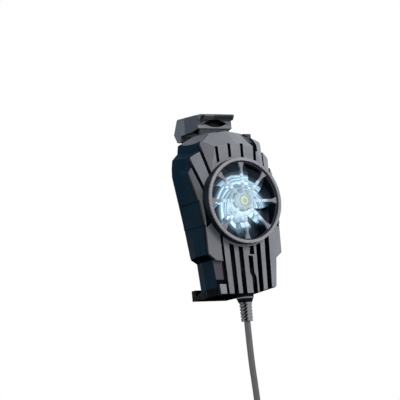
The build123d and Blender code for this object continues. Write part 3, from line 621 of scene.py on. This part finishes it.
def dress_shell():
    # Painted light: faces at the top left that look up are lighter, as if lit from above.
    top_highlight = Panel((-0.0175, -0.0190, 0.0262), (-0.0040, 0.0, 0.0330), (0.066, 0.071, 0.083), "Z", 1.0)
    # Painted shade: black inside the lower slots.
    shaded_slot_floors = Panel((-0.0125, -0.0185, -0.0410), (0.0175, -0.0120, -0.0335), BLACK)
    shoulder = Panel((0.0088, -0.0150, 0.0240), (0.0136, -0.0078, 0.0320), (0.050, 0.048, 0.057))
    # Painted shade: black on the foot's left side.
    shaded_foot_side = Panel((-0.0225, -0.0190, -0.0410), (-0.0130, 0.0030, -0.0365), BLACK, "X", -1.0)
    violet_grey = (0.047, 0.045, 0.057)
    inset = Panel((-0.0205, -0.0180, -0.0333), (-0.0105, -0.0100, -0.0250), violet_grey, "Y", -1.0)
    ledge = Panel((-0.0205, -0.0180, -0.0370), (-0.0105, -0.0100, -0.0333), BLACK, "Y", -1.0)
    # The shell's dark navy is painted shade: its sides are the plates' grey plastic, darkened as they fall
    # in shade; its undersides are painted black as shade.
    dress(surface("shell", (0.0018, 0.0088, 0.0165), 0.55, shine=0.02, wear_and_highlight=0.8, under_shade=BLACK,
                  panels=[top_highlight, shaded_slot_floors, shoulder, shaded_foot_side, inset, ledge]), "main_shell")
    dress(surface("rear", (0.006, 0.009, 0.013), 0.55, shine=0.15), "rear_cover")


def dress_plates():
    """The front's plates, each kind with its colour and how much painted light makes its right side lighter
    than its left.
    """
    plate = (0.115, 0.120, 0.138)
    shaded_plate = (0.060, 0.063, 0.073)
    # Near black: painted shade on the walls of the slots and grooves between the plates.
    slot_wall_shade = (0.0008, 0.001, 0.002)
    for kind, color, side_light, names in (
            ("plates", plate, (0.98, 1.0), ("left_foot_plate", "right_side_plate", "left_brow_plate",
                                            "right_brow_plate")),
            ("crown", plate, (0.70, 1.15), ("crown_plate",)),
            ("slats", plate, (0.62, 1.05), ("lower_grille",)),
            ("cheek", shaded_plate, (1.0, 1.0), ("left_side_plate",))):
        dress(surface(kind, color, 0.45, wear_and_highlight=0.5, edge=0.00025, shine=0.3, walls=slot_wall_shade, facet_light=0.22,
                      side_light=side_light), *names)


# Fan and its light

def dress_fan():
    dress(surface("ring", (0.003, 0.005, 0.009), 0.45, shine=0.06), "fan_ring")
    dress(surface("trim", (0.125, 0.127, 0.140), 0.35, coat=0.1, shine=0.4), "ring_trim")
    # The guard glows with painted light, though it is no lamp, and the blades with painted light in arcs and
    # a glint at the hub.
    dress(glow_material("guard", (0.13, 0.135, 0.15), BLADE_LIGHT, 0.85, contrast=0.65, rim=GUARD_RIM),
          "fan_guard")
    dress(glow_material("blades", (0.008, 0.011, 0.016), BLADE_LIGHT, 1.2), "fan_impeller")
    dress(glow_material("lamps", (0.8, 0.9, 1.0), LAMP_LIGHT, 4.0, contrast=0.0), "light_lamps")
    # The light board and the frame carry painted lamplight that spills from the lamps.
    dress(surface("light_board", (0.30, 0.32, 0.34), 0.4, coat=0.4, glow=(SPILL_LIGHT, 1.2)), "light_board")
    dress(surface("frame", (0.003, 0.006, 0.009), 0.55, shine=0.12, glow=(SPILL_LIGHT, 0.6)), "fan_frame")


def dress_inside():
    """The motor and the control board, out of sight."""
    dress(surface("magnet", (0.07, 0.07, 0.075), 0.4, metallic=0.8), "rotor_magnet")
    dress(surface("bronze", (0.42, 0.28, 0.13), 0.35, metallic=1.0), "shaft_bearing")
    dress(surface("laminations", (0.28, 0.28, 0.30), 0.4, metallic=1.0, stretch=(0.1, 8, 0.1)),
          "fan_stator")
    # Its near black is painted shade, for the dark inside that shows through the slots.
    dress(surface("control_board", (0.002, 0.005, 0.004), 0.6, shine=0.1), "control_board")


# Cold side

def dress_cold_side():
    # The fins carry painted lamplight that spills from the lamps.
    dress(surface("fins", (0.30, 0.31, 0.33), 0.35, metallic=1.0, stretch=(1, 1, 14),
                  glow=(SPILL_LIGHT, 0.9)), "heat_sink")
    dress(surface("white_ceramic", (0.80, 0.80, 0.78), 0.5), "peltier_module")
    dress(surface("foam", (0.025, 0.025, 0.026), 0.9, grain=1400.0, grain_depth=0.00012), "module_gasket")
    dress(surface("aluminium", (0.62, 0.63, 0.65), 0.32, metallic=1.0, stretch=(1, 1, 14)), "cold_plate")
    dress(surface("heat_pad", (0.22, 0.23, 0.25), 0.75, grain=900.0, grain_depth=0.00004), "phone_pad")


# Clamp

def dress_cap():
    # Painted shade on the cap: the front part of its left flank, the brow and the lip's curved underside are
    # darker, the scoop beneath the lip is black, and the undersides are near black.
    shaded_flank = Panel((-0.0089, -0.0049, 0.0330), (-0.0087, 0.0055, 0.0415), (0.038, 0.047, 0.060), "X", -1.0)
    sill = Panel((-0.0089, -0.0051, 0.0345), (0.0089, -0.0049, 0.0361), (0.135, 0.140, 0.155), "Y", -1.0)
    brow = Panel((-0.0089, -0.0051, 0.0361), (0.0001, -0.0049, 0.0390), (0.036, 0.040, 0.048), "Y", -1.0)
    shaded_lip = Panel((-0.0010, -0.0072, 0.0386), (0.0086, -0.0051, 0.0407), (0.034, 0.037, 0.048), "Y", -1.0)
    shaded_scoop = Panel((-0.0057, -0.00495, 0.0350), (0.0065, 0.0010, 0.0392), BLACK)
    dress(surface("cap", (0.076, 0.088, 0.102), 0.5, wear_and_highlight=0.5, edge=0.0003, shine=0.06,
                  under_shade=(0.004, 0.0045, 0.006), panels=[shaded_flank, sill, brow, shaded_lip, shaded_scoop]), "clamp_cap")


def dress_clamp():
    dress(surface("arm", (0.010, 0.013, 0.018), 0.55, shine=0.2), "clamp_arm")
    dress(surface("rails", (0.0025, 0.0060, 0.009), 0.55, shine=0.12), "arm_guides", "spring_posts")
    dress(surface("jaw", (0.0012, 0.0013, 0.002), 0.6, shine=0.06, under_shade=BLACK), "lower_jaw")
    dress(surface("grips", (0.010, 0.010, 0.011), 0.8, grain=1500.0, grain_depth=0.00005, shine=0.2),
          "upper_grip", "lower_grip")


# Cable's exit, its tie and the plug

def dress_cable():
    # Painted highlight: a thin light line along the collar's edge.
    collar_highlight = Panel((-0.0040, -0.0192, -0.0416), (0.0040, 0.0, -0.0410), (0.12, 0.122, 0.135))
    dress(surface("collar", (0.0015, 0.002, 0.003), 0.6, wear_and_highlight=0.3, shine=0.02, panels=[collar_highlight]),
          "cable_collar")
    dress(ribbed("boot", (0.115, 0.12, 0.128)), "strain_relief")
    dress(surface("tie", (0.02, 0.02, 0.022), 0.85, grain=2600.0, grain_depth=0.00008, stretch=(1, 3, 1)),
          "coil_tie")
    dress(surface("plug_grip", (0.04, 0.04, 0.044), 0.5), "usb_grip")
    dress(surface("tongue", (0.75, 0.75, 0.73), 0.4), "usb_tongue")


# Bright steel, on both sides of the object

def dress_steel():
    dress(surface("steel", (0.50, 0.50, 0.52), 0.28, metallic=1.0, stretch=(1, 1, 12)), "rotor_shaft",
          "usb_shell", "case_screws")


# Light and backdrop

# Each lamp's place, width and power in watts. All of them point at the origin.
LAMPS = {"key": ((0.35, -0.80, 0.45), 0.45, 10.5),
         "side": ((-0.90, -0.25, 0.15), 0.50, 2.0),
         "top": ((-0.45, -0.10, 0.80), 0.40, 7.0)}
AMBIENT_COLOR = (0.95, 0.98, 1.0)
AMBIENT_STRENGTH = 0.32


def add_lamps():
    for name, (place, size, power) in LAMPS.items():
        data = bpy.data.lights.new(name, "AREA")
        data.shape = "SQUARE"
        data.size = size
        data.energy = power
        lamp = add_object(name, data)
        lamp.location = place
        lamp.rotation_euler = (-Vector(place)).to_track_quat("-Z", "Y").to_euler()


def add_world():
    """White where the world is seen, straight, through or mirrored, and else a plain level of light."""
    world = bpy.data.worlds.new("studio")
    bpy.context.scene.world = world
    world.use_nodes = True
    tree = world.node_tree
    seen = tree.nodes["Background"]
    feed(tree, (1, 1, 1), seen.inputs["Color"])
    feed(tree, 1.0, seen.inputs["Strength"])
    lit = tree.nodes.new("ShaderNodeBackground")
    feed(tree, AMBIENT_COLOR, lit.inputs["Color"])
    feed(tree, AMBIENT_STRENGTH, lit.inputs["Strength"])
    path = tree.nodes.new("ShaderNodeLightPath")
    white = math_node(tree, "MAXIMUM", path.outputs["Is Camera Ray"], path.outputs["Is Transmission Ray"])
    white = math_node(tree, "MAXIMUM", white, path.outputs["Is Glossy Ray"])
    mix = tree.nodes.new("ShaderNodeMixShader")
    tree.links.new(white, mix.inputs["Fac"])
    tree.links.new(lit.outputs["Background"], mix.inputs[1])
    tree.links.new(seen.outputs["Background"], mix.inputs[2])
    tree.links.new(mix.outputs["Shader"], tree.nodes["World Output"].inputs["Surface"])


# Floor, just below the plug, which fades to plain white away from the object

FLOOR_GAP = 0.0005
FLOOR_REACH = 3
WHITE_FADE = (0.25, 0.75)


def floor_material():
    material = surface("floor", (0.86, 0.86, 0.86), 0.8, mottle=0.01, wear_and_highlight=0.0, grain=300.0)
    tree = material.node_tree
    away = tree.nodes.new("ShaderNodeVectorMath")
    away.operation = "LENGTH"
    tree.links.new(place_on(tree), away.inputs[0])
    path = tree.nodes.new("ShaderNodeLightPath")
    share = math_node(tree, "MULTIPLY", path.outputs["Is Camera Ray"],
                      rises(tree, away.outputs["Value"], *WHITE_FADE))
    white = tree.nodes.new("ShaderNodeEmission")
    mix = tree.nodes.new("ShaderNodeMixShader")
    tree.links.new(share, mix.inputs["Fac"])
    tree.links.new(tree.nodes["Principled BSDF"].outputs["BSDF"], mix.inputs[1])
    tree.links.new(white.outputs["Emission"], mix.inputs[2])
    tree.links.new(mix.outputs["Shader"], tree.nodes["Material Output"].inputs["Surface"])
    return material


def add_floor():
    low = cad_low.z - FLOOR_GAP
    corners = [(-FLOOR_REACH, -FLOOR_REACH, low), (FLOOR_REACH, -FLOOR_REACH, low),
               (FLOOR_REACH, FLOOR_REACH, low), (-FLOOR_REACH, FLOOR_REACH, low)]
    mesh = bpy.data.meshes.new("floor")
    mesh.from_pydata(corners, [], [(0, 1, 2, 3)])
    mesh.materials.append(floor_material())
    add_object("floor", mesh)


add_camera()
add_cord(surface("cord", (0.046, 0.043, 0.049), 0.42, wear_and_highlight=0.1, grain=1800.0))
dress_shell()
dress_plates()
dress_fan()
dress_inside()
dress_cold_side()
dress_cap()
dress_clamp()
dress_cable()
dress_steel()
spring_steel = surface("spring_steel", (0.45, 0.45, 0.47), 0.3, metallic=1.0, grain=3000.0)
add_spring("left", spring_steel)
add_spring("right", spring_steel)
add_world()
add_lamps()
add_floor()

bpy.context.scene.view_settings.view_transform = "Standard"
